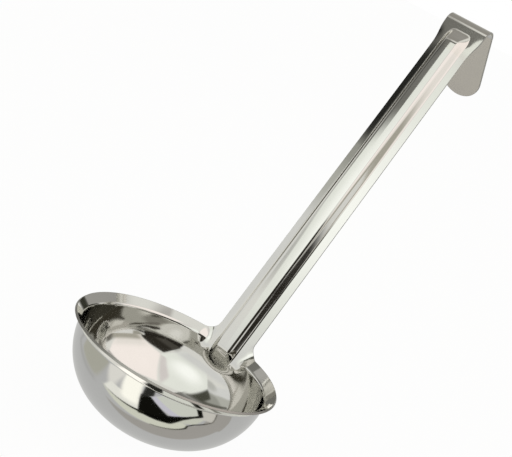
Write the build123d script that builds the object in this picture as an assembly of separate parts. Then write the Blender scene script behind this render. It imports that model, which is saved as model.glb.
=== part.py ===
"""One-piece soup ladle, pressed from one stainless sheet, split here at its formed zones.

Lengths are millimetres. While it is drawn, the bowl's axis is Z, the mouth lies in the plane z = 0 and
the handle leans away over the +Y side. At the end everything moves so that the origin is on the axis
of the hook's bend, the line that the ladle hangs from.
"""
import os
from math import atan2, cos, degrees, pi, radians, sin, sqrt, tan

from build123d import *

# The sheet that the whole ladle is pressed from
sheet = 1.0

# Bowl: measured on its outside, a round side that runs into a flatter round bottom.
# The side's radius is a share of the bowl's drop or radius, whichever is smaller, so it always fits.
# The lip folds outwards with a small radius on its outside, then flares straight.
bowl_radius = 39.95
bowl_drop = 32.8
bowl_side_share = 0.913
lip_height = 4.1
lip_fold_radius = 1.0
lip_flare_deg = 50.0

# Handle: its front reference plane leans back from the bowl's axis, and passes inside the lip's edge
handle_lean_deg = 22.1
handle_setback = 1.5
handle_length = 169.8
handle_half_width_low = 9.3
handle_half_width_high = 8.8
flange_slope_deg = 14.5

# Rib: the raised middle of the handle, towards the bowl
rib_flat_half = 2.3
rib_foot_half = 6.15
rib_height = 3.4
rib_crown = 0.3
crest_share = 0.45
foot_share = 0.25

# Neck: the zone where lip, bowl wall and handle run into each other
neck_top = 9.0
neck_fillet = 5.0
neck_drop = 13.0
neck_calm_share = 0.55
nose_start = 1.0
nose_length = 9.9
nose_squareness = 3.0

# Hook: the rib runs out, the strip lies flat, bends back and ends in a rounded tail
hook_half_width = 10.25
plate_length = 13.8
plate_rise = 0.3
rib_runout_start = 3.0
rib_runout_length = 8.6
hook_inner_radius = 4.0
hook_bend_deg = 123.0
tail_length = 35.6

# How finely the formed surfaces are described
point_count = 33
neck_point_count = 65
neck_section_count = 29
plate_section_count = 15
offset_rounds = 8
normal_step_share = 0.001

# One overrun for every cutting or trimming shape
overrun = 6.0

lean = radians(handle_lean_deg)
flare = radians(lip_flare_deg)
flange_slope = radians(flange_slope_deg)
hook_turn = radians(hook_bend_deg)
bowl_inner_radius = bowl_radius - sheet
bowl_side_radius = bowl_side_share * min(bowl_drop, bowl_radius)
side_centre_r = bowl_radius - bowl_side_radius
bottom_radius = (side_centre_r**2 + bowl_drop**2 - bowl_side_radius**2) / (2 * (bowl_drop - bowl_side_radius))
bottom_centre_up = bottom_radius - bowl_drop
bottom_turn = atan2(side_centre_r, bottom_centre_up)
lip_crest_radius = sheet + lip_fold_radius
crest_height = lip_crest_radius * sin(flare)
crest_reach = lip_crest_radius * (1 - cos(flare))
lip_edge_radius = bowl_inner_radius + crest_reach + (lip_height - crest_height) * tan(flare)
handle_foot_y = lip_edge_radius - handle_setback
neck_half_width = handle_half_width_low + neck_fillet
normal_step = normal_step_share * bowl_radius


def soft_step(share, start_share, end_share):
    """Goes from 0 to 1 as share does, straight in the middle and rounded at both ends."""
    rise = 1 / (1 - (start_share + end_share) / 2)
    if share <= 0:
        return 0.0
    if share >= 1:
        return 1.0
    if share < start_share:
        return rise * share**2 / (2 * start_share)
    if share > 1 - end_share:
        return 1 - rise * (1 - share) ** 2 / (2 * end_share)
    return rise * (share - start_share / 2)


def ease(share):
    """A gentle step from 0 to 1."""
    return soft_step(share, 0.5, 0.5)


def rib_rise(x, end_share):
    """Height of the rib over its foot; end_share grows from 0 to 1 along a rounded end."""
    across = max(0.0, (abs(x) - rib_flat_half) / (rib_foot_half - rib_flat_half))
    along = max(0.0, end_share)
    reach = (across**nose_squareness + along**nose_squareness) ** (1 / nose_squareness)
    crown = rib_crown * (1 + cos(pi * min(1.0, abs(x) / rib_foot_half))) / 2
    return (rib_height + crown) * (1 - soft_step(reach, crest_share, foot_share))


def flange_rise(x):
    """Height of the sloping flanges over the plane of their outer edges, level under the rib."""
    return (handle_half_width_low - max(abs(x), rib_foot_half)) * tan(flange_slope)


def lip_radius(z):
    """Inner radius of bowl and lip at height z."""
    up = z + lip_height
    if up <= -(bowl_side_radius - sheet) * cos(bottom_turn):
        return sqrt((bottom_radius - sheet) ** 2 - (bottom_centre_up - up) ** 2)
    if up <= 0:
        return side_centre_r + sqrt((bowl_side_radius - sheet) ** 2 - up**2)
    if up <= crest_height:
        return bowl_inner_radius + lip_crest_radius - sqrt(lip_crest_radius**2 - up**2)
    if z <= 0:
        return lip_edge_radius + z * tan(flare)
    settle = min(z, lip_height)
    turned = (tan(flare) - tan(lean)) * (settle - settle**2 / (2 * lip_height))
    return lip_edge_radius + z * tan(lean) + turned


def neck_front(x, z):
    """Y of the neck's inner surface: bowl and lip at its border, handle in the middle and above."""
    border_share = sqrt((x / neck_half_width) ** 2 + (min(z, 0) / neck_drop) ** 2)
    rounded = ease((border_share - neck_calm_share) / (1 - neck_calm_share)) * (1 - ease(z / neck_fillet))
    round_wall = sqrt(lip_radius(z) ** 2 - x**2)
    along = z / cos(lean)
    nose_share = (-nose_start - along) / nose_length
    flat_wall = handle_foot_y + z * tan(lean) - flange_rise(x) / cos(lean)
    wall = (1 - rounded) * flat_wall + rounded * round_wall
    return wall - rib_rise(x, nose_share) / cos(lean)


def plate_front(x, s):
    """Height of the strip's front over the handle's plane, s along the handle past the straight rib."""
    settled = ease(s / plate_length)
    runout_share = (s - rib_runout_start) / rib_runout_length
    slope = (1 - settled) * flange_rise(x) + settled * plate_rise
    return slope + rib_rise(x, runout_share)


def plate_half_width(s):
    """Half the strip's width where the flanges open out flat."""
    return handle_half_width_high + (hook_half_width - handle_half_width_high) * ease(s / plate_length)


def under(height, u, v):
    """Height of the sheet's other side at u, v, one sheet away square to the surface."""
    foot_u, foot_v = u, v
    for _ in range(offset_rounds):
        du = (height(foot_u + normal_step, foot_v) - height(foot_u - normal_step, foot_v)) / (2 * normal_step)
        dv = (height(foot_u, foot_v + normal_step) - height(foot_u, foot_v - normal_step)) / (2 * normal_step)
        length = sqrt(1 + du**2 + dv**2)
        foot_u = u - sheet * du / length
        foot_v = v - sheet * dv / length
    return height(foot_u, foot_v) - sheet / length


def section(front, back):
    """A closed face from two open rows of points that run the same way."""
    edges = [
        Edge.make_spline(front),
        Edge.make_line(front[-1], back[-1]),
        Edge.make_spline(list(reversed(back))),
        Edge.make_line(back[0], front[0]),
    ]
    return Wire(edges)


def spread(low, high, count=point_count):
    """Evenly spaced values across a section."""
    return [low + (high - low) * i / (count - 1) for i in range(count)]


def on_handle(x, rise, s):
    """A point at x, rise in front of the handle's plane and s up the handle."""
    y = handle_foot_y + s * sin(lean) - rise * cos(lean)
    return Vector(x, y, s * cos(lean) + rise * sin(lean))


def revolved(profile):
    """A closed outline in the XZ plane, turned once round the bowl's axis."""
    return revolve(Plane.XZ * profile, axis=Axis.Z, revolution_arc=360)


def bowl_arcs(side_radius, low_radius):
    """Half of the bowl's outline on one skin, from the lip's foot down to the axis."""
    side = CenterArc((side_centre_r, -lip_height), side_radius, 0, degrees(bottom_turn) - 90)
    low = CenterArc((0, bottom_centre_up - lip_height), low_radius, degrees(bottom_turn) - 90, -degrees(bottom_turn))
    return [side, low]


def make_bowl():
    """The bowl below the lip, open above, with the neck's zone cut out."""
    outer = bowl_arcs(bowl_side_radius, bottom_radius)
    inner = bowl_arcs(bowl_side_radius - sheet, bottom_radius - sheet)
    top = Line((bowl_inner_radius, -lip_height), (bowl_radius, -lip_height))
    middle = Line((0, -lip_height - bowl_drop + sheet), (0, -lip_height - bowl_drop))
    return revolved(make_face(outer + inner + [top, middle])) - neck_block()


def make_lip():
    """The flared lip: a rounded crest, then a straight flare up to a square-cut edge."""
    centre_x = bowl_inner_radius + lip_crest_radius
    square = Vector(cos(flare), -sin(flare)) * sheet
    inner_turn = Vector(centre_x - lip_crest_radius * cos(flare), -lip_height + crest_height)
    inner_edge = Vector(lip_edge_radius, 0)
    outer_turn = inner_turn + square
    outer_edge = inner_edge + square
    middle = (centre_x - lip_crest_radius * cos(flare / 2), -lip_height + lip_crest_radius * sin(flare / 2))
    outer_middle = (centre_x - lip_fold_radius * cos(flare / 2), -lip_height + lip_fold_radius * sin(flare / 2))
    outline = [
        ThreePointArc((bowl_inner_radius, -lip_height), middle, inner_turn),
        Line(inner_turn, inner_edge),
        Line(inner_edge, outer_edge),
        Line(outer_edge, outer_turn),
        ThreePointArc(outer_turn, outer_middle, (bowl_radius, -lip_height)),
        Line((bowl_radius, -lip_height), (bowl_inner_radius, -lip_height)),
    ]
    return revolved(make_face(outline)) - neck_block()


def neck_outline():
    """The neck seen along Y: a half ellipse in the bowl, two fillets and the handle's foot."""
    top = neck_top + overrun
    low = Ellipse(neck_half_width, neck_drop)
    low &= Pos(0, -neck_drop / 2) * Rectangle(2 * neck_half_width, neck_drop)
    wide = Pos(0, neck_fillet / 2) * Rectangle(2 * neck_half_width, neck_fillet)
    for side in (-1, 1):
        wide -= Pos(side * neck_half_width, neck_fillet) * Circle(neck_fillet)
    stem = Pos(0, top / 2) * Rectangle(2 * handle_half_width_low, top)
    return low + wide + stem


def neck_block():
    """The neck's outline carried straight through the wall behind the bowl."""
    depth = bowl_radius + overrun
    return extrude(Plane.XZ * neck_outline(), amount=-depth)


def above_neck():
    """Everything above the plane where the straight handle starts."""
    side = 2 * (neck_half_width + neck_top + overrun)
    block = Pos(0, 0, side / 2) * Box(side, side, side)
    return Plane(origin=on_handle(0, 0, neck_top), x_dir=(1, 0, 0), z_dir=handle_way()) * block


def handle_way():
    """The handle's direction, upwards."""
    return Vector(0, sin(lean), cos(lean))


def make_neck():
    """Lip, wall and handle foot run together, with the rib's rounded nose in the middle."""
    half = neck_half_width + sheet
    low = -neck_drop - sheet
    high = neck_top + overrun / 2
    row = spread(-half, half, neck_point_count)
    wires = []
    for z in spread(low, high, neck_section_count):
        front = [Vector(x, neck_front(x, z), z) for x in row]
        back = [Vector(x, -under(lambda a, b: -neck_front(a, b), x, z), z) for x in row]
        wires.append(section(front, back))
    body = Solid.make_loft(wires)
    return (body & neck_block()) - above_neck()


def straight(low_x, high_x):
    """A zone of the straight handle between two edges, each given low and high on the handle."""
    wires = []
    for s, share in ((neck_top, 0), (handle_length - plate_length, 1)):
        row = spread(low_x[share], high_x[share])
        front = [on_handle(x, handle_rise(x, 0), s) for x in row]
        back = [on_handle(x, under(handle_rise, x, 0), s) for x in row]
        wires.append(section(front, back))
    return Solid.make_loft(wires, ruled=True)


def handle_rise(x, _):
    """Height of the straight handle's front over its plane."""
    return flange_rise(x) + rib_rise(x, 0)


def make_plate():
    """The rib runs out and the flanges open into a flat strip."""
    foot = handle_length - plate_length
    wires = []
    for s in spread(0, plate_length, plate_section_count):
        row = spread(-plate_half_width(s), plate_half_width(s))
        front = [on_handle(x, plate_front(x, s), foot + s) for x in row]
        back = [on_handle(x, under(plate_front, x, s), foot + s) for x in row]
        wires.append(section(front, back))
    return Solid.make_loft(wires)


def hook_centre():
    """The middle of the axis that the hook is bent round."""
    return on_handle(0, plate_rise - sheet - hook_inner_radius, handle_length)


def make_bend():
    """The strip bent back round the hook's axis."""
    start = on_handle(0, plate_rise - sheet / 2, handle_length)
    strip = Plane(origin=start, x_dir=(1, 0, 0), z_dir=handle_way()) * Rectangle(2 * hook_half_width, sheet)
    return revolve(strip, axis=Axis(hook_centre(), (-1, 0, 0)), revolution_arc=hook_bend_deg)


def make_tail():
    """The flat end of the hook, rounded at its tip."""
    middle = hook_inner_radius + sheet / 2
    back_way = Vector(0, cos(lean), -sin(lean))
    start = hook_centre() + back_way * (-middle * cos(hook_turn)) + handle_way() * (middle * sin(hook_turn))
    tail_way = back_way * sin(hook_turn) + handle_way() * cos(hook_turn)
    square_length = tail_length - hook_half_width
    shape = Pos(0, square_length / 2) * Rectangle(2 * hook_half_width, square_length)
    tip = Pos(0, square_length) * Circle(hook_half_width)
    tip &= Pos(0, square_length + hook_half_width / 2) * Rectangle(2 * hook_half_width, hook_half_width)
    face_way = Vector(1, 0, 0).cross(tail_way)
    plane = Plane(origin=start, x_dir=(1, 0, 0), z_dir=face_way)
    return plane * extrude(shape + tip, amount=sheet / 2, both=True)


rib_edges = (rib_foot_half, rib_foot_half)
flange_edges = (handle_half_width_low, handle_half_width_high)
nodes = {
    "bowl": make_bowl(),
    "rim_lip": make_lip(),
    "neck": make_neck(),
    "handle_rib": straight([-x for x in rib_edges], rib_edges),
    "handle_flange_left": straight([-x for x in flange_edges], [-x for x in rib_edges]),
    "handle_flange_right": straight(rib_edges, flange_edges),
    "hook_plate": make_plate(),
    "hook_bend": make_bend(),
    "hook_tail": make_tail(),
}

os.makedirs("parts", exist_ok=True)
to_hook = Location(-hook_centre())
for name, shape in nodes.items():
    export_step(to_hook * shape, f"parts/{name}.step")
print("the lip's edge radius is", round(lip_edge_radius, 3))
print("the mouth's centre is at", [round(-v, 3) for v in hook_centre()])
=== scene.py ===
"""Looks of the one-piece soup ladle: its pressed sheet in fine meshes, steel, camera and a pale studio whose
surroundings are painted reflections.

The shapes repeat the values and formulas of the part's source, in mm and in the bowl's frame: the bowl's
axis is Z, the mouth is the plane z = 0 and the handle leans over +Y. Everything moves to the row's frame,
whose origin is on the hook's axis, when the meshes are made.
"""

import bpy
import numpy as np
from mathutils import Matrix, Vector


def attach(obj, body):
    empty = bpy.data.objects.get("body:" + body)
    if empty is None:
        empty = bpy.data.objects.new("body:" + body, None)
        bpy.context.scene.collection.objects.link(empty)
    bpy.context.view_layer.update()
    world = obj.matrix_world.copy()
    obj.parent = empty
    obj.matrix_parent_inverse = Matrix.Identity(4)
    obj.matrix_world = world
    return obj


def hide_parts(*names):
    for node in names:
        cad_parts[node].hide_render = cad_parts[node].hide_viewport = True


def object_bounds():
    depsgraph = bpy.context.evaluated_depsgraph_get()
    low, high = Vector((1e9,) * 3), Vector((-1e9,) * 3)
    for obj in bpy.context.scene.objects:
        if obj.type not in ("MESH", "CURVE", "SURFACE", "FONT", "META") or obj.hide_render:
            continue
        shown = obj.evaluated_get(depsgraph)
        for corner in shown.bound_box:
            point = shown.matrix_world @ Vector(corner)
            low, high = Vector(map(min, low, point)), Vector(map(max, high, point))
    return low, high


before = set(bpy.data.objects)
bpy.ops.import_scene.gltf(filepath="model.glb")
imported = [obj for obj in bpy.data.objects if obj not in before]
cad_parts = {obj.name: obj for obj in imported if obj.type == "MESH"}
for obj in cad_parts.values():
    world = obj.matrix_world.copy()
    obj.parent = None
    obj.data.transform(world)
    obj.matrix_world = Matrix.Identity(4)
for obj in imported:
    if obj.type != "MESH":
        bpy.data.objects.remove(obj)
cad_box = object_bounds()

# Sizes of the sheet, as in the part's source
sheet = 1.0
bowl_radius = 39.95
bowl_drop = 32.8
bowl_side_share = 0.913
lip_height = 4.1
lip_fold_radius = 1.0
lip_flare_deg = 50.0
handle_lean_deg = 22.1
handle_setback = 1.5
handle_length = 169.8
handle_half_width_low = 9.3
handle_half_width_high = 8.8
flange_slope_deg = 14.5
rib_flat_half = 2.3
rib_foot_half = 6.15
rib_height = 3.4
rib_crown = 0.3
crest_share = 0.45
foot_share = 0.25
neck_top = 9.0
neck_fillet = 5.0
neck_drop = 13.0
neck_calm_share = 0.55
nose_start = 1.0
nose_length = 9.9
nose_squareness = 3.0
hook_half_width = 10.25
plate_length = 13.8
plate_rise = 0.3
rib_runout_start = 3.0
rib_runout_length = 8.6
hook_inner_radius = 4.0
hook_bend_deg = 123.0
tail_length = 35.6

# Only for the looks: how round the sheet's polished edges are
edge_radius = 0.14
EDGE_TURNS_DEG = [30, 60, 90, 90, 120, 150]

lean = np.radians(handle_lean_deg)
flare = np.radians(lip_flare_deg)
flange_slope = np.radians(flange_slope_deg)
hook_turn = np.radians(hook_bend_deg)
bowl_side_radius = bowl_side_share * min(bowl_drop, bowl_radius)
bowl_inner_radius = bowl_radius - sheet
side_centre_r = bowl_radius - bowl_side_radius
bottom_share = side_centre_r**2 + bowl_drop**2 - bowl_side_radius**2
bottom_radius = bottom_share / (2 * (bowl_drop - bowl_side_radius))
bottom_centre_up = bottom_radius - bowl_drop
bottom_turn = np.arctan2(side_centre_r, bottom_centre_up)
side_turn = np.pi / 2 - bottom_turn
lip_crest_radius = sheet + lip_fold_radius
crest_height = lip_crest_radius * np.sin(flare)
crest_reach = lip_crest_radius * (1 - np.cos(flare))
lip_edge_radius = bowl_inner_radius + crest_reach + (lip_height - crest_height) * np.tan(flare)
handle_foot_y = lip_edge_radius - handle_setback
neck_half_width = handle_half_width_low + neck_fillet
plate_foot = handle_length - plate_length

WAY_X = np.array([1.0, 0.0, 0.0])
WAY_RISE = np.array([0.0, -np.cos(lean), np.sin(lean)])
WAY_UP = np.array([0.0, np.sin(lean), np.cos(lean)])
SLOPE_STEP = 0.01
MM = 0.001


# The sheet's front surface, as in the part's source
def soft_step(share, start_share, end_share):
    """Goes from 0 to 1 as share does, straight in the middle and rounded at both ends."""
    rise = 1 / (1 - (start_share + end_share) / 2)
    share = np.clip(share, 0.0, 1.0)
    low = rise * share**2 / (2 * start_share)
    high = 1 - rise * (1 - share) ** 2 / (2 * end_share)
    middle = rise * (share - start_share / 2)
    return np.where(share < start_share, low, np.where(share > 1 - end_share, high, middle))


def ease(share):
    return soft_step(share, 0.5, 0.5)


def rib_rise(x, end_share):
    across = np.maximum(0.0, (np.abs(x) - rib_flat_half) / (rib_foot_half - rib_flat_half))
    along = np.maximum(0.0, end_share)
    reach = (across**nose_squareness + along**nose_squareness) ** (1 / nose_squareness)
    crown = rib_crown * (1 + np.cos(np.pi * np.minimum(1.0, np.abs(x) / rib_foot_half))) / 2
    return (rib_height + crown) * (1 - soft_step(reach, crest_share, foot_share))


def flange_rise(x):
    return (handle_half_width_low - np.maximum(np.abs(x), rib_foot_half)) * np.tan(flange_slope)


def lip_radius(z):
    up = z + lip_height
    wall = side_centre_r + np.sqrt(np.maximum(0, (bowl_side_radius - sheet) ** 2 - up**2))
    crest = bowl_inner_radius + lip_crest_radius - np.sqrt(np.maximum(0, lip_crest_radius**2 - up**2))
    flared = lip_edge_radius + z * np.tan(flare)
    settle = np.clip(z, 0, lip_height)
    turned = (np.tan(flare) - np.tan(lean)) * (settle - settle**2 / (2 * lip_height))
    above = lip_edge_radius + z * np.tan(lean) + turned
    return np.where(up <= 0, wall, np.where(up <= crest_height, crest, np.where(z <= 0, flared, above)))


def neck_front(x, z):
    """Y of the neck's inner surface: bowl and lip at its border, handle in the middle and above."""
    border_share = np.sqrt((x / neck_half_width) ** 2 + (np.minimum(z, 0) / neck_drop) ** 2)
    rounded = ease((border_share - neck_calm_share) / (1 - neck_calm_share)) * (1 - ease(z / neck_fillet))
    round_wall = np.sqrt(lip_radius(z) ** 2 - x**2)
    nose_share = (-nose_start - z / np.cos(lean)) / nose_length
    flat_wall = handle_foot_y + z * np.tan(lean) - flange_rise(x) / np.cos(lean)
    wall = (1 - rounded) * flat_wall + rounded * round_wall
    return wall - rib_rise(x, nose_share) / np.cos(lean)


def plate_front(x, s):
    settled = ease(s / plate_length)
    runout_share = (s - rib_runout_start) / rib_runout_length
    slope = (1 - settled) * flange_rise(x) + settled * plate_rise
    return slope + rib_rise(x, runout_share)


def plate_half_width(s):
    return handle_half_width_high + (hook_half_width - handle_half_width_high) * ease(s / plate_length)


# Points and normals on each zone
def unit(rows):
    return rows / np.linalg.norm(rows, axis=-1, keepdims=True)


def on_neck(x, z):
    point = np.stack([x, neck_front(x, z), z], -1)
    dx = (neck_front(x + SLOPE_STEP, z) - neck_front(x - SLOPE_STEP, z)) / (2 * SLOPE_STEP)
    dz = (neck_front(x, z + SLOPE_STEP) - neck_front(x, z - SLOPE_STEP)) / (2 * SLOPE_STEP)
    return point, unit(np.stack([dx, -np.ones_like(dx), dz], -1))


def on_handle(x, rise, s):
    foot = np.array([0.0, handle_foot_y, 0.0])
    return foot + x[..., None] * WAY_X + rise[..., None] * WAY_RISE + s[..., None] * WAY_UP


def on_strip(x, s):
    """The handle's front from the neck to the hook, s along the whole handle."""
    def height(a, b):
        return plate_front(a, np.maximum(b - plate_foot, 0.0))
    dx = (height(x + SLOPE_STEP, s) - height(x - SLOPE_STEP, s)) / (2 * SLOPE_STEP)
    ds = (height(x, s + SLOPE_STEP) - height(x, s - SLOPE_STEP)) / (2 * SLOPE_STEP)
    normal = WAY_RISE - dx[..., None] * WAY_X - ds[..., None] * WAY_UP
    return on_handle(x, height(x, s), s), unit(normal)


def hook_centre():
    rise = plate_rise - sheet - hook_inner_radius
    return on_handle(np.array(0.0), np.array(rise), np.array(handle_length))


def on_bend(x, turn):
    radial = np.cos(turn)[..., None] * WAY_RISE + np.sin(turn)[..., None] * WAY_UP
    return hook_centre() + (hook_inner_radius + sheet) * radial + x[..., None] * WAY_X, radial


TAIL_FACE = np.cos(hook_turn) * WAY_RISE + np.sin(hook_turn) * WAY_UP
TAIL_WAY = -np.sin(hook_turn) * WAY_RISE + np.cos(hook_turn) * WAY_UP


def on_tail(x, along):
    start = hook_centre() + (hook_inner_radius + sheet) * TAIL_FACE
    point = start + along[..., None] * TAIL_WAY + x[..., None] * WAY_X
    return point, np.broadcast_to(TAIL_FACE, point.shape)


def around(r, z, turn):
    """Radius and height at a turn about the bowl's axis, from +Y towards +X."""
    return np.stack([r * np.sin(turn), r * np.cos(turn), z + 0 * turn], -1)


def on_bowl(way, turn):
    """The bowl's inner skin, way mm down from the lip's foot."""
    side_inner = bowl_side_radius - sheet
    low_inner = bottom_radius - sheet
    on_side = way <= side_inner * side_turn
    angle = np.where(on_side, way / side_inner, side_turn + (way - side_inner * side_turn) / low_inner)
    centre_r = np.where(on_side, side_centre_r, 0.0)
    centre_z = np.where(on_side, -lip_height, bottom_centre_up - lip_height)
    radius = np.where(on_side, side_inner, low_inner)
    point = around(centre_r + radius * np.cos(angle), centre_z - radius * np.sin(angle), turn)
    return point, around(-np.cos(angle), np.sin(angle), turn)


def lip_profile(way):
    """Radius, height and normal of the lip's inner skin, way mm up from its foot."""
    angle = np.minimum(way / lip_crest_radius, flare)
    beyond = np.maximum(way - lip_crest_radius * flare, 0)
    r = bowl_inner_radius + lip_crest_radius * (1 - np.cos(angle)) + beyond * np.sin(flare)
    z = -lip_height + lip_crest_radius * np.sin(angle) + beyond * np.cos(flare)
    return r, z, -np.cos(angle), np.sin(angle)


# A zone of the sheet as a closed mesh
class Zone:
    """The front skin of one zone. solid() adds the back skin, the rounded edges and the seams."""

    def __init__(self):
        self.points, self.normals, self.outwards = [], [], []
        self.quads, self.triangles = [], []

    def add(self, points, normals, outwards=None):
        """Adds points, with the outward way of those on a free edge, and returns their numbers."""
        shape = points.shape[:-1]
        first = sum(len(p) for p in self.points)
        outwards = np.zeros(points.shape) if outwards is None else outwards
        self.points.append(points.reshape(-1, 3))
        self.normals.append(unit(np.array(normals, float)).reshape(-1, 3))
        self.outwards.append(outwards.reshape(-1, 3))
        return np.arange(first, first + int(np.prod(shape))).reshape(shape)

    def grid(self, ids, closed=False):
        """Quads between rows of points; a closed grid joins its last column to its first."""
        if closed:
            ids = np.concatenate([ids, ids[:, :1]], 1)
        corners = [ids[:-1, :-1], ids[:-1, 1:], ids[1:, 1:], ids[1:, :-1]]
        self.quads.append(np.stack(corners, -1).reshape(-1, 4))

    def fan(self, ring, centre):
        """Triangles from a ring of points to a centre."""
        corners = [ring[:-1], ring[1:], np.full(len(ring) - 1, centre)]
        self.triangles.append(np.stack(corners, -1))

    def solid(self):
        """Points, faces and one normal for each corner of a face."""
        front = np.concatenate(self.points)
        facing = np.concatenate(self.normals)
        outward = np.concatenate(self.outwards)
        free = np.linalg.norm(outward, axis=1) > 0.5
        skins = []
        for faces in (self.quads, self.triangles):
            if faces:
                faces = np.concatenate(faces)
                corners = front[faces]
                way = np.cross(corners[:, 2] - corners[:, 0], corners[:, -1] - corners[:, 1])
                wrong = (way * facing[faces].sum(1)).sum(1) < 0
                faces[wrong] = faces[wrong][:, ::-1]
                skins.append(faces)
        edges = np.concatenate([np.stack([f, np.roll(f, -1, 1)], -1).reshape(-1, 2) for f in skins])
        count = len(front)
        border = edges[~np.isin(edges[:, 0] * count + edges[:, 1], edges[:, 1] * count + edges[:, 0])]
        front = front - edge_radius * outward
        points = [front, front - sheet * facing]
        total = 2 * count
        turns = np.radians(EDGE_TURNS_DEG)
        half = len(turns) // 2
        depth = np.array([edge_radius] * half + [sheet - edge_radius] * half)[:, None]
        rings = {}
        for v in {int(v) for v in border.ravel() if free[v]}:
            way = np.cos(turns)[:, None] * facing[v] + np.sin(turns)[:, None] * outward[v]
            points.append(front[v] - depth * facing[v] + edge_radius * way)
            ring_normals = np.concatenate([[facing[v]], way, [-facing[v]]])
            rings[v] = ([v, *range(total, total + len(turns)), v + count], ring_normals)
            total += len(turns)
        points = np.concatenate(points)
        faces, normals = [], []
        for skin in skins:
            back = skin[:, ::-1]
            faces += skin.tolist() + (back + count).tolist()
            normals += [facing[skin].reshape(-1, 3), -facing[back].reshape(-1, 3)]
        skin_count = len(faces)

        def flat(face):
            corners = points[face]
            way = np.cross(corners, np.roll(corners, -1, 0)).sum(0)
            faces.append(face)
            normals.append(np.tile(way / np.linalg.norm(way), (len(face), 1)))

        for i, j in border.tolist():
            if free[i] and free[j]:
                (a, a_facing), (b, b_facing) = rings[i], rings[j]
                for k in range(len(a) - 1):
                    faces.append([b[k], a[k], a[k + 1], b[k + 1]])
                    normals.append(np.array([b_facing[k], a_facing[k], a_facing[k + 1], b_facing[k + 1]]))
                continue
            flat([j, i, i + count, j + count])
            if free[i]:
                flat(rings[i][0])
            if free[j]:
                flat(rings[j][0][::-1])
        return points, faces, np.concatenate(normals), skin_count


def sided(way, normal, x):
    """Outward way of a side edge that runs along way, on the side where x lies."""
    return unit(np.cross(way, normal)) * np.sign(x)[..., None]


# Columns across the handle are shared from the neck to the tail, so the seams between zones don't show
RIB_COLUMNS = 48
FLANGE_COLUMNS = 30
RIB_X = np.linspace(-rib_foot_half, rib_foot_half, RIB_COLUMNS + 1)
FLANGE_SHARES = np.linspace(0, 1, FLANGE_COLUMNS + 1)[1:]
MIDDLE = FLANGE_COLUMNS + RIB_COLUMNS // 2


def columns(half_width):
    half_width = np.atleast_1d(np.asarray(half_width, float))[:, None]
    right = rib_foot_half + FLANGE_SHARES * (half_width - rib_foot_half)
    middle = np.broadcast_to(RIB_X, (len(half_width), len(RIB_X)))
    return np.concatenate([-right[:, ::-1], middle, right], 1)


# Columns of points round the bowl and the lip, and along the neck's seam with the bowl
AROUND = 320
BELOW = 112

# Rows of points along each zone, and the columns round the tail's end
CREST_ROWS = 13
FLARE_ROWS = 6
BOWL_UPPER_ROWS = 21
BOWL_LOWER_ROWS = 39
FILLET_ROWS = 17
STEM_ROWS = 13
STRAIGHT_ROWS = 61
PLATE_ROWS = 57
BEND_ROWS = 41
TAIL_ROWS = 15
TAIL_END_COLUMNS = 97

CREST_WAYS = np.linspace(0, 1, CREST_ROWS) * lip_crest_radius * flare
FLARE_SHARES = np.linspace(0, 1, FLARE_ROWS)[1:]
FLARE_WAYS = CREST_WAYS[-1] + FLARE_SHARES * (lip_height - crest_height) / np.cos(flare)
LIP_WAYS = np.concatenate([CREST_WAYS, FLARE_WAYS])
lip_r, lip_z, lip_out, lip_up = lip_profile(LIP_WAYS)
LIP_PHI = np.arcsin(np.clip(-lip_z / neck_drop, 0, 1))
LOW_PHI = np.linspace(LIP_PHI[0], np.pi - LIP_PHI[0], BELOW + 1)


def bowl_zone():
    zone = Zone()
    x = neck_half_width * np.cos(LOW_PHI)
    z = -neck_drop * np.sin(LOW_PHI)
    side_inner = bowl_side_radius - sheet
    turn = np.arcsin(x / lip_radius(z))
    top = side_inner * np.arcsin((-lip_height - z) / side_inner)
    rest = np.linspace(turn[-1], turn[0] - 2 * np.pi, AROUND + 1)
    turns = np.concatenate([turn[:-1], rest[:-1]])
    tops = np.concatenate([top[:-1], 0 * rest[:-1]])
    shared_way = neck_drop + lip_height
    whole_way = side_inner * side_turn + (bottom_radius - sheet) * bottom_turn
    shares = np.linspace(0, 1, BOWL_UPPER_ROWS)[:, None]
    upper = tops * (1 - shares) + shared_way * shares
    lower = np.linspace(shared_way, whole_way, BOWL_LOWER_ROWS)[1:-1, None] * np.ones_like(turns)
    ways = np.concatenate([upper, lower])
    ids = zone.add(*on_bowl(ways, np.broadcast_to(turns, ways.shape)))
    zone.grid(ids, closed=True)
    pole = zone.add(*on_bowl(np.array([whole_way]), np.array([0.0])))
    zone.fan(np.concatenate([ids[-1], ids[-1][:1]]), pole[0])
    return zone


def lip_zone():
    zone = Zone()
    start = np.arcsin(neck_half_width * np.cos(LIP_PHI) / lip_r)[:, None]
    turns = -start + (2 * start - 2 * np.pi) * np.linspace(0, 1, AROUND + 1)
    points = around(lip_r[:, None] + 0 * turns, lip_z[:, None], turns)
    normals = around(lip_out[:, None] + 0 * turns, lip_up[:, None], turns)
    outwards = np.zeros_like(points)
    outwards[-1] = around(np.sin(flare) + 0 * turns[-1], np.cos(flare), turns[-1])
    zone.grid(zone.add(points, normals, outwards))
    return zone


def half_disc(zone, line, points, normals, outwards=None):
    """Rings below a shared line of columns: each ring starts and ends on the line."""
    outwards = np.zeros_like(points) if outwards is None else outwards
    inner = zone.add(points[:, 1:-1], normals[:, 1:-1], outwards[:, 1:-1])
    right = line[MIDDLE + 1:, None]
    left = line[:MIDDLE][::-1, None]
    rings = np.concatenate([right, inner, left], 1)
    zone.grid(rings)
    zone.fan(rings[0], line[MIDDLE])


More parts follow.
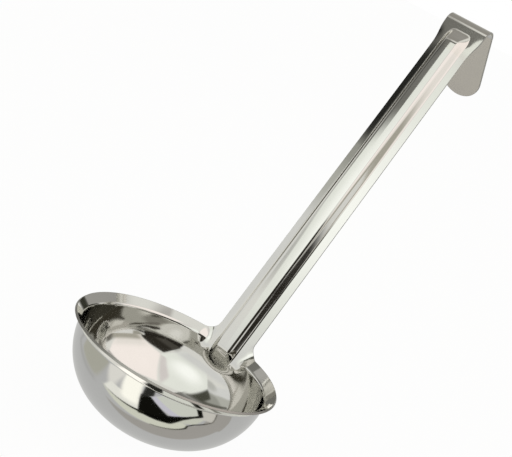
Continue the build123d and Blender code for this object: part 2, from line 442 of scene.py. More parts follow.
def neck_zone():
    zone = Zone()
    line_x = columns(neck_half_width)[0]
    turns = np.linspace(0, np.pi / 2, FILLET_ROWS)
    stem_shares = np.linspace(0, 1, STEM_ROWS)[1:]
    fillet_z = neck_fillet * (1 - np.cos(turns))
    fillet_half = neck_half_width - neck_fillet * np.sin(turns)
    stem_x = columns(handle_half_width_low)
    top_z = neck_top * np.cos(lean) + (flange_rise(stem_x) + rib_rise(stem_x, 0)) * np.sin(lean)
    stem_z = neck_fillet + (top_z - neck_fillet) * stem_shares[:, None]
    x = np.concatenate([columns(fillet_half), np.repeat(stem_x, len(stem_shares), 0)])
    z = np.concatenate([fillet_z[:, None] + 0 * line_x, stem_z])
    points, normals = on_neck(x, z)
    outwards = np.zeros_like(points)
    for column, side in ((0, -1), (-1, 1)):
        n = normals[:, column]
        dx = np.concatenate([-side * neck_fillet * np.cos(turns), 0 * stem_shares])
        dz = np.concatenate([neck_fillet * np.sin(turns), 1 + 0 * stem_shares])
        dy = -(n[:, 0] * dx + n[:, 2] * dz) / n[:, 1]
        outwards[:, column] = sided(np.stack([dx, dy, dz], -1), n, x[:, column])
    ids = zone.add(points, normals, outwards)
    zone.grid(ids)
    phi = np.concatenate([LIP_PHI[:0:-1], LOW_PHI, np.pi - LIP_PHI[1:]])
    rings = line_x[MIDDLE + 1:, None]
    disc = on_neck(rings * np.cos(phi), -rings * neck_drop / neck_half_width * np.sin(phi))
    half_disc(zone, ids[0], *disc)
    return zone


def straight_zones():
    s = np.linspace(neck_top, plate_foot, STRAIGHT_ROWS)
    share = (s - neck_top) / (plate_foot - neck_top)
    narrowing = handle_half_width_high - handle_half_width_low
    x = columns(handle_half_width_low + narrowing * share)
    points, normals = on_strip(x, np.broadcast_to(s[:, None], x.shape))
    outwards = np.zeros_like(points)
    for column, side in ((0, -1), (-1, 1)):
        way = WAY_UP + side * narrowing / (plate_foot - neck_top) * WAY_X
        outwards[:, column] = sided(way, normals[:, column], x[:, column])
    rib_end = FLANGE_COLUMNS + RIB_COLUMNS
    cuts = {
        "handle_flange_left": slice(0, FLANGE_COLUMNS + 1),
        "handle_rib": slice(FLANGE_COLUMNS, rib_end + 1),
        "handle_flange_right": slice(rib_end, None),
    }
    zones = {}
    for name, cut in cuts.items():
        zones[name] = Zone()
        zones[name].grid(zones[name].add(points[:, cut], normals[:, cut], outwards[:, cut]))
    return zones


def plate_zone():
    zone = Zone()
    s = np.linspace(0, plate_length, PLATE_ROWS)
    x = columns(plate_half_width(s))
    points, normals = on_strip(x, np.broadcast_to(plate_foot + s[:, None], x.shape))
    outwards = np.zeros_like(points)
    slope = (plate_half_width(s + SLOPE_STEP) - plate_half_width(s - SLOPE_STEP)) / (2 * SLOPE_STEP)
    for column, side in ((0, -1), (-1, 1)):
        n = normals[:, column]
        way = WAY_UP + side * slope[:, None] * WAY_X
        way = way - (way * n).sum(-1, keepdims=True) * n
        outwards[:, column] = sided(way, n, x[:, column])
    zone.grid(zone.add(points, normals, outwards))
    return zone


def with_sides(points):
    outwards = np.zeros_like(points)
    outwards[:, 0] = -WAY_X
    outwards[:, -1] = WAY_X
    return outwards


def bend_zone():
    zone = Zone()
    turn = np.linspace(0, hook_turn, BEND_ROWS)[:, None]
    x = columns(hook_half_width) + 0 * turn
    points, normals = on_bend(x, turn + 0 * x)
    zone.grid(zone.add(points, normals, with_sides(points)))
    return zone


def tail_zone():
    zone = Zone()
    straight_length = tail_length - hook_half_width
    along = np.linspace(0, straight_length, TAIL_ROWS)[:, None]
    x = columns(hook_half_width) + 0 * along
    points, normals = on_tail(x, along + 0 * x)
    ids = zone.add(points, normals, with_sides(points))
    zone.grid(ids)
    phi = np.linspace(0, np.pi, TAIL_END_COLUMNS)
    rings = x[0, MIDDLE + 1:, None]
    points, normals = on_tail(rings * np.cos(phi), straight_length + rings * np.sin(phi))
    outwards = np.zeros_like(points)
    outwards[-1] = np.cos(phi)[:, None] * WAY_X + np.sin(phi)[:, None] * TAIL_WAY
    half_disc(zone, ids[-1], points, normals, outwards)
    return zone


# Materials
def add(tree, kind, **values):
    """A node with its settings and socket values; a value that is a socket is linked."""
    node = tree.nodes.new(kind)
    for key, value in values.items():
        if key.startswith("in_"):
            name = key[3:]
            socket = node.inputs[int(name)] if name.isdigit() else node.inputs[name.replace("_", " ")]
            if isinstance(value, bpy.types.NodeSocket):
                tree.links.new(value, socket)
            else:
                socket.default_value = value
        else:
            setattr(node, key, value)
    return node


CLOUD_SCALE = 60.0
CLOUD_LOW = 0.35
CLOUD_HIGH = 0.7
TINT_SPREAD = 0.04
WAVE_SCALE = 38.0
WAVE_DEPTH = 0.00003


def steel(name, colour, roughness_low, roughness_high):
    """Steel sheet: cloudy roughness and tint, and a slight waviness."""
    material = bpy.data.materials.new(name)
    material.use_nodes = True
    tree = material.node_tree
    shader = tree.nodes["Principled BSDF"]
    shader.inputs["Metallic"].default_value = 1.0
    place = add(tree, "ShaderNodeTexCoord").outputs["Object"]
    clouds = add(tree, "ShaderNodeTexNoise", in_Vector=place, in_Scale=CLOUD_SCALE, in_Detail=4.0,
                 in_Roughness=0.6)
    spread = add(tree, "ShaderNodeMapRange", in_Value=clouds.outputs["Fac"],
                 in_1=CLOUD_LOW, in_2=CLOUD_HIGH, in_3=roughness_low, in_4=roughness_high)
    tree.links.new(spread.outputs[0], shader.inputs["Roughness"])
    tint = add(tree, "ShaderNodeMix", data_type="RGBA", in_0=clouds.outputs["Fac"])
    tint.inputs[6].default_value = (*[c * (1 - TINT_SPREAD) for c in colour], 1.0)
    tint.inputs[7].default_value = (*[c * (1 + TINT_SPREAD) for c in colour], 1.0)
    tree.links.new(tint.outputs[2], shader.inputs["Base Color"])
    wave = add(tree, "ShaderNodeTexNoise", in_Vector=place, in_Scale=WAVE_SCALE, in_Detail=1.0)
    waviness = add(tree, "ShaderNodeBump", in_Strength=1.0, in_Distance=WAVE_DEPTH,
                   in_Height=wave.outputs["Fac"])
    tree.links.new(waviness.outputs[0], shader.inputs["Normal"])
    return material


polished = steel("polished_steel", (0.63, 0.63, 0.63), 0.04, 0.09)
satin = steel("satin_steel", (0.60, 0.57, 0.53), 0.2, 0.26)
bright = steel("hook_steel", (0.62, 0.615, 0.605), 0.07, 0.12)
# Cut edges: rougher steel with a darker colour, partly the rough cut and partly painted shade for the dark
# line along the edges
shaded_cut_edge = steel("cut_edge_with_painted_shade", (0.3, 0.295, 0.285), 0.3, 0.4)


# Pieces
def make_piece(name, zone, material):
    points, faces, normals, skin_count = zone.solid()
    mesh = bpy.data.meshes.new(name + "_sheet")
    mesh.from_pydata(((points - hook_centre()) * MM).tolist(), [], faces)
    mesh.polygons.foreach_set("use_smooth", [True] * len(faces))
    mesh.normals_split_custom_set(normals.tolist())
    mesh.materials.append(material)
    mesh.materials.append(shaded_cut_edge)
    mesh.polygons.foreach_set("material_index", [0] * skin_count + [1] * (len(faces) - skin_count))
    piece = bpy.data.objects.new(name + "_sheet", mesh)
    bpy.context.scene.collection.objects.link(piece)
    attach(piece, "root")
    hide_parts(name)
    return piece


zones = {"bowl": bowl_zone(), "rim_lip": lip_zone(), "neck": neck_zone(), **straight_zones()}
for name, zone in zones.items():
    make_piece(name, zone, polished)
make_piece("hook_plate", plate_zone(), bright)
make_piece("hook_bend", bend_zone(), bright)
make_piece("hook_tail", tail_zone(), satin)


# Camera
def to_row(x, y, z):
    return Vector((np.array([x, y, z]) - hook_centre()) * MM)


# Fitted to the photo together with the ladle's main sizes, in mm and in the bowl's frame
CAMERA_FORWARD = (-0.4251, 0.8754, -0.2301)
CAMERA_RIGHT = (0.7523, 0.4831, 0.4480)
CAMERA_PLACE = (209.77, -420.0, 168.28)
CAMERA_LENS = 89.48
CAMERA_SENSOR = 36.0
CAMERA_NEAR = 0.01

forward = Vector(CAMERA_FORWARD).normalized()
right = Vector(CAMERA_RIGHT)
right = (right - right.dot(forward) * forward).normalized()
up = right.cross(forward)
camera_data = bpy.data.cameras.new("camera")
camera = bpy.data.objects.new("camera", camera_data)
bpy.context.scene.collection.objects.link(camera)
camera_data.sensor_width = CAMERA_SENSOR
camera_data.lens = CAMERA_LENS
camera_data.clip_start = CAMERA_NEAR
turned = Matrix((right, up, -forward)).transposed().to_4x4()
camera.matrix_world = Matrix.Translation(to_row(*CAMERA_PLACE)) @ turned
bpy.context.scene.camera = camera


# Studio: painted reflections that the steel shows, and a pale floor

# The share of light that polished steel gives back
STEEL_SHARE = 0.63

# A ray's depth on a sheet after one reflection is 1, after two 2; the limits lie between them
TWO_REFLECTIONS = 1.5
THREE_REFLECTIONS = 2.5


def seen(red, green, blue):
    """The light that polished steel shows as this screen colour, 0 to 255 on the sRGB curve."""
    shares = [c / 255 for c in (red, green, blue)]
    light = [c / 12.92 if c <= 0.04045 else ((c + 0.055) / 1.055) ** 2.4 for c in shares]
    return (*[c / STEEL_SHARE for c in light], 1.0)


class Painter:
    """Lays soft-edged patches of light and shade over each other, on a flat chart of points."""

    def __init__(self, tree, point, colour):
        self.tree = tree
        self.point = point
        self.light = add(tree, "ShaderNodeRGB").outputs[0]
        self.light.default_value = colour

    def maths(self, operation, *values):
        sockets = {f"in_{number}": value for number, value in enumerate(values)}
        return add(self.tree, "ShaderNodeMath", operation=operation, **sockets).outputs[0]

    def vector(self, operation, first, second, output=0):
        node = add(self.tree, "ShaderNodeVectorMath", operation=operation, in_0=first, in_1=second)
        return node.outputs[output]

    def step(self, value, edge, soft):
        """0 below the edge and 1 above it, soft wide on each side."""
        return add(self.tree, "ShaderNodeMapRange", interpolation_type="SMOOTHSTEP", in_Value=value,
                   in_1=edge - soft, in_2=edge + soft, in_3=0.0, in_4=1.0).outputs[0]

    def lay(self, colour, mask):
        """Covers the light so far with a colour, as far as the mask says."""
        mix = add(self.tree, "ShaderNodeMix", data_type="RGBA", in_0=mask, in_6=self.light, in_7=colour)
        self.light = mix.outputs[2]

    def facet(self, colour, corners, soft, share=1.0):
        """A convex patch with straight sides."""
        area = sum(x0 * y1 - x1 * y0 for (x0, y0), (x1, y1) in zip(corners, corners[1:] + corners[:1]))
        if area < 0:
            corners = corners[::-1]
        mask = None
        for (x0, y0), (x1, y1) in zip(corners, corners[1:] + corners[:1]):
            size = ((x1 - x0) ** 2 + (y1 - y0) ** 2) ** 0.5
            inward = (-(y1 - y0) / size, (x1 - x0) / size, 0.0)
            far = self.vector("DOT_PRODUCT", self.point, inward, 1)
            side = self.step(far, inward[0] * x0 + inward[1] * y0, soft)
            mask = side if mask is None else self.maths("MULTIPLY", mask, side)
        self.lay(colour, self.maths("MULTIPLY", mask, share))

    def blob(self, colour, centre, size, soft, share=1.0):
        """A round patch; soft is a share of its size."""
        moved = self.vector("SUBTRACT", self.point, (*centre, 0.0))
        scaled = self.vector("DIVIDE", moved, (*size, 1.0))
        flat = self.vector("MULTIPLY", scaled, (1.0, 1.0, 0.0))
        far = add(self.tree, "ShaderNodeVectorMath", operation="LENGTH", in_0=flat).outputs[1]
        mask = self.maths("SUBTRACT", 1.0, self.step(far, 1.0, soft))
        self.lay(colour, self.maths("MULTIPLY", mask, share))

    def stroke(self, colour, points, widths, soft, share=1.0):
        """A line through points, with a half width at each of them."""
        nearest = None
        for (x0, y0), (x1, y1), w0, w1 in zip(points, points[1:], widths, widths[1:]):
            from_start = self.vector("SUBTRACT", self.point, (x0, y0, 0.0))
            run = (x1 - x0, y1 - y0, 0.0)
            size = run[0] ** 2 + run[1] ** 2
            along = self.vector("DOT_PRODUCT", from_start, (run[0] / size, run[1] / size, 0.0), 1)
            along = add(self.tree, "ShaderNodeClamp", in_Value=along).outputs[0]
            foot = add(self.tree, "ShaderNodeVectorMath", operation="SCALE", in_0=run, in_Scale=along)
            off = self.vector("SUBTRACT", from_start, foot.outputs[0])
            off = self.vector("MULTIPLY", off, (1.0, 1.0, 0.0))
            far = add(self.tree, "ShaderNodeVectorMath", operation="LENGTH", in_0=off).outputs[1]
            width = self.maths("MULTIPLY_ADD", along, w1 - w0, w0)
            far = self.maths("SUBTRACT", far, width)
            nearest = far if nearest is None else self.maths("MINIMUM", nearest, far)
        mask = self.maths("SUBTRACT", 1.0, self.step(nearest, 0.0, soft))
        self.lay(colour, self.maths("MULTIPLY", mask, share))


def paint_reflections_below(painter):
    """Painted reflections below, on a chart of a level plane one unit down: grey, pale and dark patches, and
    dark lines.
    """
    painter.facet(seen(163, 162, 150),
                  [(-0.9, -0.45), (-0.95, -0.9), (-1.5, -2.1), (-4, -5), (-6, -2), (-2.2, -0.1),
                   (-1.9, 0.0)], 0.14)
    painter.stroke(seen(150, 149, 145),
                   [(-2.9, 0.05), (-2.1, 0.35), (-1.5, 0.0), (-0.9, -0.3)], [0.1, 0.08, 0.06, 0.03],
                   0.15, 0.7)
    painter.facet(seen(152, 149, 143),
                  [(-0.6, -0.3), (0.0, 0.12), (0.6, 0.62), (1.1, 1.02), (1.25, 0.2), (0.7, -0.1)], 0.03)
    painter.facet(seen(152, 149, 143), [(0.9, 0.87), (1.5, 1.2), (9, 3.9), (9, 0.3), (1.2, 0.2)], 0.03)
    painter.facet(seen(198, 199, 183),
                  [(-0.7, -0.56), (0.26, -0.14), (0.58, 0.0), (0.9, -0.02), (0.9, -0.5), (0.0, -0.56)],
                  0.03)
    painter.facet(seen(191, 192, 178),
                  [(0.75, 0.0), (1.1, 0.05), (1.5, 0.48), (1.9, 0.5), (1.9, -0.3), (0.75, -0.4)], 0.03)
    painter.facet(seen(190, 187, 178), [(1.5, 0.48), (9, 0.52), (9, -2.5), (1.6, -0.3)], 0.03)
    painter.facet(seen(214, 212, 204),
                  [(-0.8, -0.62), (-0.45, -0.6), (-0.5, -2.5), (-1.1, -6), (-4.2, -6), (-1.5, -2.1),
                   (-0.95, -0.9)], 0.12)
    painter.facet(seen(222, 221, 211), [(-0.65, -0.58), (0.2, -0.56), (0.3, -1.0), (-0.6, -1.0)], 0.04)
    painter.facet(seen(250, 248, 235),
                  [(-0.25, -0.75), (0.2, -0.72), (0.28, -1.2), (0.5, -2.1), (1.3, -6), (-1.1, -6),
                   (-0.52, -2.4), (-0.42, -1.3)], 0.12)
    painter.facet(seen(15, 15, 11),
                  [(0.1, -0.45), (0.77, -0.5), (0.73, -1.11), (0.66, -1.5), (0.3, -1.45), (0.19, -0.95)],
                  0.03)
    painter.facet(seen(40, 40, 37),
                  [(0.27, -1.3), (0.67, -1.3), (0.82, -1.63), (1.6, -2.19), (4.0, -3.9), (1.6, -6),
                   (0.62, -2.6), (0.45, -1.95)], 0.05)
    painter.facet(seen(190, 188, 196),
                  [(0.76, -0.5), (1.5, -0.3), (1.6, -2.19), (0.82, -1.63), (0.66, -1.46), (0.73, -1.11)],
                  0.03)
    painter.facet(seen(196, 198, 187),
                  [(1.1, -0.5), (1.7, -0.14), (6.5, -2.6), (5.0, -4.6), (1.6, -2.19), (0.95, -1.7)], 0.05)
    painter.stroke(seen(10, 10, 7),
                   [(0.2, -0.5), (0.45, -0.42), (0.63, -0.38), (0.8, -0.4), (1.03, -0.385), (1.4, -0.28)],
                   [0.04, 0.1, 0.15, 0.14, 0.1, 0.065], 0.025)
    painter.stroke(seen(14, 14, 10),
                   [(1.4, -0.28), (1.77, -0.1), (2.11, -0.29), (2.55, -0.52), (6.0, -2.4)],
                   [0.065, 0.1, 0.12, 0.15, 0.4], 0.035)
    painter.stroke(seen(30, 30, 22),
                   [(-0.5, -0.58), (-0.2, -0.56), (0.2, -0.52)], [0.004, 0.02, 0.04], 0.02)
    painter.stroke(seen(38, 38, 30),
                   [(0.22, -0.17), (0.56, -0.02), (0.75, 0.03), (0.88, -0.03), (1.07, 0.04), (1.29, 0.26)],
                   [0.008, 0.02, 0.025, 0.025, 0.03, 0.03], 0.02)
    painter.stroke(seen(75, 73, 64),
                   [(1.29, 0.26), (1.51, 0.46), (1.85, 0.5), (5.0, 0.55)], [0.03, 0.025, 0.025, 0.05], 0.03)
    painter.facet(seen(40, 38, 33), [(2.2, -3.0), (4.2, -2.1), (12, -5), (5, -12), (1.6, -4.5)], 0.3)


def paint_reflections_round(painter):
    """Painted reflections round about, dark and grey patches, on a chart of compass degrees from +Y to +X
    and degrees of height.
    """
    painter.facet(seen(36, 33, 28),
                  [(104, -30), (158, -30), (157, 10), (150, 24), (136, 32), (124, 30), (108, 22)], 1.5)
    painter.facet(seen(36, 33, 28), [(84, -20), (110, -20), (122, 16), (104, 12), (90, 9.7), (84, 8)], 1.0)
    painter.facet(seen(205, 203, 196), [(94, 3.5), (104, 5.5), (106, 10), (97, 7.5)], 1.0)
    painter.facet(seen(150, 147, 135), [(92, 11), (98, 10.5), (106, 14), (108, 22), (92, 22)], 1.5)
    painter.facet(seen(46, 46, 38), [(-5, 4), (30, 4), (24, 12), (14, 21), (-5, 19)], 3.0)
    painter.facet(seen(46, 46, 38), [(346, 4), (365, 4), (365, 19), (352, 14)], 3.0)
    painter.facet(seen(110, 106, 97), [(30, 4), (62, 4), (58, 24), (44, 26)], 4.0)
    painter.facet(seen(100, 99, 93),
                  [(236, 27), (262, 17), (284, 6), (314, -6), (340, 5), (330, 60), (236, 60)], 5.0)
    painter.facet(seen(40, 40, 37), [(236, 25), (247, 22), (252, 30), (240, 34)], 2.5)


def paint_reflections_above(painter):
    """Painted reflections above the ladle, on a chart of the sheet one unit up: pale patches and dark gaps.
    """
    painter.facet(seen(204, 204, 199), [(-0.6, -0.3), (-0.75, -1.2), (-5, -2.6), (-5, -0.35)], 0.15)
    painter.facet(seen(170, 170, 161),
                  [(-0.85, -0.3), (-1.0, -0.8), (-1.7, -0.93), (-4, -0.85), (-4, -0.3)], 0.12)
    painter.blob(seen(178, 178, 171), (-1.1, -1.3), (0.4, 0.3), 0.6)
    painter.facet(seen(146, 146, 137), [(-0.7, -0.3), (-1.0, -0.85), (-1.5, -0.75), (-1.9, -0.35)], 0.12)
    painter.facet(seen(222, 224, 214),
                  [(0.1, -0.05), (-0.37, -0.27), (-0.93, -0.95), (-0.8, -5), (1.05, -5), (1.0, -0.98)],
                  0.04)
    painter.facet(seen(202, 202, 197), [(-0.9, -1.9), (-5, -2.4), (-5, -5), (1.1, -5), (1.1, -1.9)], 0.5)
    painter.facet(seen(188, 184, 180), [(0.0, 0.0), (1.2, 1.12), (3, 1.9), (3, 5), (-0.3, 5)], 0.06)
    painter.facet(seen(162, 160, 154),
                  [(-0.25, -0.22), (-0.25, 0.45), (-0.35, 5), (-5, 5), (-5, -0.25), (-1.2, -0.25)], 0.05)
    painter.facet(seen(138, 135, 128), [(-0.5, 0.12), (-0.5, 0.85), (0.1, 0.85), (0.0, 0.12)], 0.06)
    painter.facet(seen(108, 107, 101), [(-1.6, -0.1), (-1.4, 5), (-5, 5), (-5, 0.1)], 0.4)
    painter.facet(seen(146, 144, 138), [(-0.25, 0.4), (-0.25, 5), (1.0, 5), (1.0, 1.6), (0.25, 0.55)], 0.15)
    painter.facet(seen(204, 198, 193), [(0.04, -0.06), (0.95, -0.92), (0.72, -0.98), (0.1, -0.4)], 0.05)
    painter.facet(seen(240, 231, 223),
                  [(0.1, -0.06), (1.22, 1.05), (3.7, 1.1), (3.7, -0.6), (0.99, -0.93)], 0.03)
    painter.facet(seen(224, 218, 209), [(1.7, 1.0), (3.7, 1.1), (3.7, -0.6), (1.6, -0.7)], 0.3)
    painter.facet(seen(160, 156, 143), [(2.5, 2.0), (3.7, 2.2), (3.7, -0.6), (2.4, -0.7)], 0.35)
    painter.facet(seen(104, 101, 93), [(1.9, 1.6), (3.7, 3.0), (3.7, 1.9), (2.3, 1.3)], 0.2)
    painter.stroke(seen(158, 154, 148), [(0.2, 0.12), (0.7, 0.6), (1.22, 1.1)], [0.02, 0.04, 0.05], 0.04)
    painter.blob(seen(247, 248, 240), (-0.05, -1.15), (0.5, 0.42), 0.7)
    painter.stroke(seen(86, 85, 76),
                   [(-0.42, -0.28), (-0.9, -0.3), (-1.6, -0.3), (-2.6, -0.25)], [0.02, 0.07, 0.07, 0.06],
                   0.05)
    painter.facet(seen(66, 66, 56), [(-0.4, -0.28), (-0.95, -0.95), (-1.15, -0.55), (-0.8, -0.28)], 0.06)
    painter.facet(seen(40, 37, 31),
                  [(0.99, -1.0), (1.94, -0.89), (2.5, -0.72), (5, -0.9), (5, -5), (1.9, -5), (1.24, -2.0)],
                  0.06)
    painter.facet(seen(74, 71, 64), [(1.2, -2.1), (5, -2.1), (5, -5), (1.9, -5)], 0.3, 0.7)


def paint_dark_reflection(painter):
    """A painted dark reflection on a sheet beside the handle's upper half, nearer than the sheet above, on a
    chart of its own height.
    """
    painter.stroke(seen(34, 34, 31), [(-0.3, 0.23), (-0.6, 0.14), (-0.9, -0.1)], [0.06, 0.12, 0.09], 0.06)


def paint_again(painter):
    """Painted reflections for rays that have met two reflections inside the bowl, on the compass chart,
    apart from those of one reflection.
    """
    painter.facet(seen(168, 168, 160), [(-5, -90), (365, -90), (365, -2), (-5, -2)], 3.0)
    painter.facet(seen(110, 108, 100), [(60, -90), (69, -90), (69, -2), (60, -2)], 2.0)
    painter.facet(seen(182, 181, 172), [(69, -90), (82, -90), (82, -2), (69, -2)], 2.0)
    painter.facet(seen(34, 33, 28), [(82, -90), (94, -90), (94, -2), (82, -2)], 2.5)
    painter.facet(seen(194, 195, 185), [(95, -90), (143, -90), (143, -2), (95, -2)], 2.0)
    painter.facet(seen(34, 34, 30), [(144, -90), (174, -90), (174, -2), (144, -2)], 2.5)
    painter.facet(seen(248, 243, 233), [(178, -90), (222, -90), (222, -2), (178, -2)], 5.0)
    painter.facet(seen(200, 198, 190), [(220, -90), (252, -90), (252, -2), (220, -2)], 8.0)
    painter.facet(seen(192, 190, 180), [(268, -2), (335, -2), (345, 30), (345, 95), (268, 95)], 5.0)
    painter.blob(seen(208, 206, 197), (312, 30), (14, 26), 0.6)
    painter.stroke(seen(66, 63, 54), [(338, 4), (344, 18), (352, 32)], [4, 4, 2], 5.0)
    painter.facet(seen(196, 192, 182), [(88, -2), (180, -2), (180, 19), (88, 15)], 4.0)
    painter.facet(seen(188, 185, 174), [(110, 46), (200, 46), (190, 62), (120, 58)], 6.0)
    painter.facet(seen(186, 182, 172), [(70, 29), (120, 36), (110, 95), (60, 95)], 8.0)
    painter.facet(seen(158, 154, 143), [(150, -2), (200, -2), (200, 19), (150, 19)], 4.0)
    painter.stroke(seen(48, 45, 36),
                   [(72, 20), (100, 20), (130, 22.5), (150, 25), (164, 24.5), (177, 23.5)],
                   [2.5, 4, 4.5, 3.5, 2.0, 1.5], 1.5)
    painter.stroke(seen(50, 46, 36),
                   [(203, 14), (212, 17), (225, 20), (232, 24)], [1.5, 2.5, 3.0, 2.0], 1.5)
    painter.stroke(seen(96, 92, 84), [(234, 26), (246, 32), (256, 40)], [3, 6, 6], 3.0)
    painter.blob(seen(70, 67, 59), (4, 38), (10, 6), 0.5)
    painter.facet(seen(190, 187, 176), [(156, 14), (182, 14), (182, 20.5), (156, 20.5)], 1.5)
    painter.stroke(seen(52, 50, 42), [(118, 60), (138, 66), (152, 69)], [2.0, 3.0, 1.0], 3.0)
    painter.blob(seen(60, 59, 50), (209, 60), (12, 7), 0.5)
    painter.facet(seen(104, 101, 92), [(205, 42), (236, 30), (262, 34), (262, 66), (214, 70)], 8.0, 0.7)
    painter.facet(seen(40, 37, 30),
                  [(206, 12), (240, 20), (258, 32), (272, 30), (276, 18), (262, 12), (236, 4), (222, 4)],
                  3.0)
    painter.stroke(seen(200, 198, 188), [(233, 9), (250, 11), (264, 7)], [1.0, 1.6, 1.0], 2.0)


world = bpy.data.worlds.new("studio")
bpy.context.scene.world = world
world.use_nodes = True
sky = world.node_tree
sky.nodes.clear()
way = add(sky, "ShaderNodeTexCoord").outputs["Generated"]
parts = add(sky, "ShaderNodeSeparateXYZ", in_Vector=way)
rays = add(sky, "ShaderNodeLightPath")

# Painted reflections for rays that go out round about
round_about = Painter(sky, None, seen(208, 207, 200))
compass = round_about.maths("ARCTAN2", parts.outputs[0], parts.outputs[1])
compass = round_about.maths("WRAP", round_about.maths("MULTIPLY", compass, 180 / np.pi), 360.0, 0.0)
height = round_about.maths("MULTIPLY", round_about.maths("ARCSINE", parts.outputs[2]), 180 / np.pi)
round_about.point = add(sky, "ShaderNodeCombineXYZ", in_0=compass, in_1=height).outputs[0]
paint_reflections_round(round_about)

# Painted reflections for rays that go downwards
ground = Painter(sky, None, seen(172, 172, 170))
depth = ground.maths("MAXIMUM", ground.maths("MULTIPLY", parts.outputs[2], -1.0), 0.001)
across = ground.maths("DIVIDE", parts.outputs[0], depth)
back = ground.maths("DIVIDE", parts.outputs[1], depth)
ground.point = add(sky, "ShaderNodeCombineXYZ", in_0=across, in_1=back).outputs[0]
paint_reflections_below(ground)

# Painted reflections for rays after two reflections, and one plain painted colour after three
again = Painter(sky, round_about.point, seen(150, 148, 137))
paint_again(again)
thrice = Painter(sky, round_about.point, seen(138, 136, 124))


def backdrop(colour, strength=1.0):
    """A background shader in a colour or in a painter's colours."""
    return add(sky, "ShaderNodeBackground", in_Color=colour, in_Strength=strength).outputs[0]


def choose(share, low, high):
    """Goes from the low shader to the high one as share goes from 0 to 1."""
    return add(sky, "ShaderNodeMixShader", in_0=share, in_1=low, in_2=high).outputs[0]


def reflected(times):
    """1 for a ray that has met this many reflections or more; its depth counts the ray's end as well."""
    return round_about.maths("GREATER_THAN", rays.outputs["Ray Depth"], times + 0.5)


# The steel sees painted reflections: patches below and round about, and other painted patches for rays that
# have met two or three reflections
# Each reflection before the last has taken its share already, so the light is given back to later ones
below = round_about.step(round_about.maths("MULTIPLY", height, -1.0), 3.0, 2.0)
surroundings = choose(below, backdrop(round_about.light), backdrop(ground.light))
surroundings = choose(reflected(2), surroundings, backdrop(again.light, STEEL_SHARE**-1))
surroundings = choose(reflected(3), surroundings, backdrop(thrice.light, STEEL_SHARE**-2))
surroundings = choose(rays.outputs["Is Camera Ray"], surroundings, backdrop((1.0, 1.0, 1.0, 1.0)))
add(sky, "ShaderNodeOutputWorld", in_Surface=surroundings)


def hang(name, mesh, place):
    """A stage sheet that only steel sees, and its empty material's tree."""
    sheet_object = bpy.data.objects.new(name, mesh)
    sheet_object.location = place
    bpy.context.scene.collection.objects.link(sheet_object)
    sheet_object.visible_camera = False
    sheet_object.visible_diffuse = False
    sheet_object.visible_shadow = False
    material = bpy.data.materials.new(name)
    material.use_nodes = True
    mesh.materials.append(material)
    material.node_tree.nodes.clear()
    return material.node_tree


def glow_or_clear(tree, light, clear_share):
    """Glows in a colour, and lets rays through in a share."""
    glow = add(tree, "ShaderNodeEmission", in_Color=light, in_Strength=1.0).outputs[0]
    clear = add(tree, "ShaderNodeBsdfTransparent").outputs[0]
    shown = add(tree, "ShaderNodeMixShader", in_0=clear_share, in_1=glow, in_2=clear).outputs[0]
    add(tree, "ShaderNodeOutputMaterial", in_Surface=shown)


FAR_AWAY = -9.0
FADE_SOFTNESS = 0.14


def overhead_sheet(name, up, corners, colour, paint, fade=FAR_AWAY):
    """A level sheet glowing with painted reflections, up over the bowl's mouth, with its corners and chart
    in units of up.

    It clears towards fade on its second axis, and for rays that have met two reflections."""
    mesh = bpy.data.meshes.new(name)
    mesh.from_pydata([(x * up, y * up, 0.0) for x, y in corners], [], [tuple(range(len(corners)))])
    tree = hang(name, mesh, to_row(0.0, 0.0, up / MM))
    painter = Painter(tree, None, colour)
    place = add(tree, "ShaderNodeTexCoord").outputs["Object"]
    painter.point = painter.vector("DIVIDE", place, (up, up, 1.0))
    paint(painter)
    ray_depth = add(tree, "ShaderNodeLightPath").outputs["Ray Depth"]
    later = painter.maths("GREATER_THAN", ray_depth, TWO_REFLECTIONS)
    back = painter.vector("DOT_PRODUCT", painter.point, (0.0, 1.0, 0.0), 1)
    cleared = painter.maths("SUBTRACT", 1.0, painter.step(back, fade, FADE_SOFTNESS))
    glow_or_clear(tree, painter.light, painter.maths("MAXIMUM", later, cleared))


def third_reflection_dark_sheet(front, low_x, high_x, high_z):
    """An upright sheet before the bowl with a painted dark reflection, seen only after three reflections:
    the bowl's left end shows it.
    """
    corners = [(low_x, 0.0), (high_x, 0.0), (high_x, high_z), (low_x, high_z)]
    mesh = bpy.data.meshes.new("third_reflection_dark_sheet")
    mesh.from_pydata([(x * MM, 0.0, z * MM) for x, z in corners], [], [(0, 1, 2, 3)])
    tree = hang("third_reflection_dark_sheet", mesh, to_row(0.0, -front, 0.0))
    dark = (*[c * STEEL_SHARE**-2 for c in seen(48, 46, 38)[:3]], 1.0)
    ray_depth = add(tree, "ShaderNodeLightPath").outputs["Ray Depth"]
    earlier = add(tree, "ShaderNodeMath", operation="LESS_THAN", in_0=ray_depth, in_1=THREE_REFLECTIONS)
    glow_or_clear(tree, dark, earlier.outputs[0])


def square(reach):
    return [(-reach, -reach), (reach, -reach), (reach, reach), (-reach, reach)]
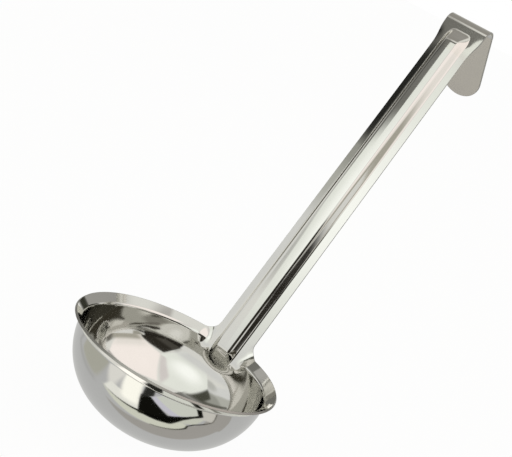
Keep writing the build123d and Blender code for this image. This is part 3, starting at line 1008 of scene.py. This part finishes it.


# Heights of the two sheets of painted reflections over the mouth, in metres, and their extent, in units of
# that height
REFLECTION_SHEET_UP = 0.36
REFLECTION_SHEET_REACH = 3.6
DARK_REFLECTION_UP = 0.2
DARK_REFLECTION_FADE = -0.22
DARK_REFLECTION_CORNERS = [(-0.4, -0.41), (-0.13, 0.265), (0.08, 0.275), (0.08, 0.36), (-1.4, 0.36), (-1.4, -0.05)]

# The dark sheet's place before the mouth's centre and its sides, in mm; it carries a painted dark reflection
THIRD_REFLECTION_SHEET_FRONT = 50.0
THIRD_REFLECTION_SHEET_LOW_X = 12.0
THIRD_REFLECTION_SHEET_HIGH_X = 210.0
THIRD_REFLECTION_SHEET_HIGH_Z = 110.0

# A level sheet over the mouth, glowing with painted reflections that only the steel sees
overhead_sheet("reflection_sheet_above", REFLECTION_SHEET_UP, square(REFLECTION_SHEET_REACH), seen(212, 211, 203), paint_reflections_above)
# A nearer sheet with a painted dark reflection beside the handle's upper half
overhead_sheet("dark_reflection_sheet", DARK_REFLECTION_UP, DARK_REFLECTION_CORNERS, seen(108, 107, 101), paint_dark_reflection, DARK_REFLECTION_FADE)
# An upright sheet with a painted dark reflection, seen only after three reflections
third_reflection_dark_sheet(THIRD_REFLECTION_SHEET_FRONT, THIRD_REFLECTION_SHEET_LOW_X, THIRD_REFLECTION_SHEET_HIGH_X, THIRD_REFLECTION_SHEET_HIGH_Z)

# A pale floor at the bowl's lowest point; the camera sees it almost white, with a faint shadow
FLOOR_REACH = 8.0
PAPER_COLOUR = (0.86, 0.86, 0.85, 1.0)
PAPER_ROUGHNESS = 0.9
PAPER_GLOW_SHARE = 0.95

floor_mesh = bpy.data.meshes.new("floor")
low = cad_box[0][2]
floor_mesh.from_pydata([(x, y, low) for x, y in square(FLOOR_REACH)], [], [(0, 1, 2, 3)])
floor = bpy.data.objects.new("floor", floor_mesh)
bpy.context.scene.collection.objects.link(floor)
floor.visible_glossy = False
paper = bpy.data.materials.new("floor_paper")
paper.use_nodes = True
tree = paper.node_tree
diffuse = tree.nodes["Principled BSDF"]
diffuse.inputs["Base Color"].default_value = PAPER_COLOUR
diffuse.inputs["Roughness"].default_value = PAPER_ROUGHNESS
glow = add(tree, "ShaderNodeEmission", in_Strength=1.0).outputs[0]
camera_ray = add(tree, "ShaderNodeLightPath").outputs["Is Camera Ray"]
share = add(tree, "ShaderNodeMath", operation="MULTIPLY", in_0=camera_ray, in_1=PAPER_GLOW_SHARE)
mixed = add(tree, "ShaderNodeMixShader", in_0=share.outputs[0], in_1=diffuse.outputs[0], in_2=glow)
tree.links.new(mixed.outputs[0], tree.nodes["Material Output"].inputs["Surface"])
floor_mesh.materials.append(paper)

bpy.context.scene.view_settings.view_transform = "Standard"
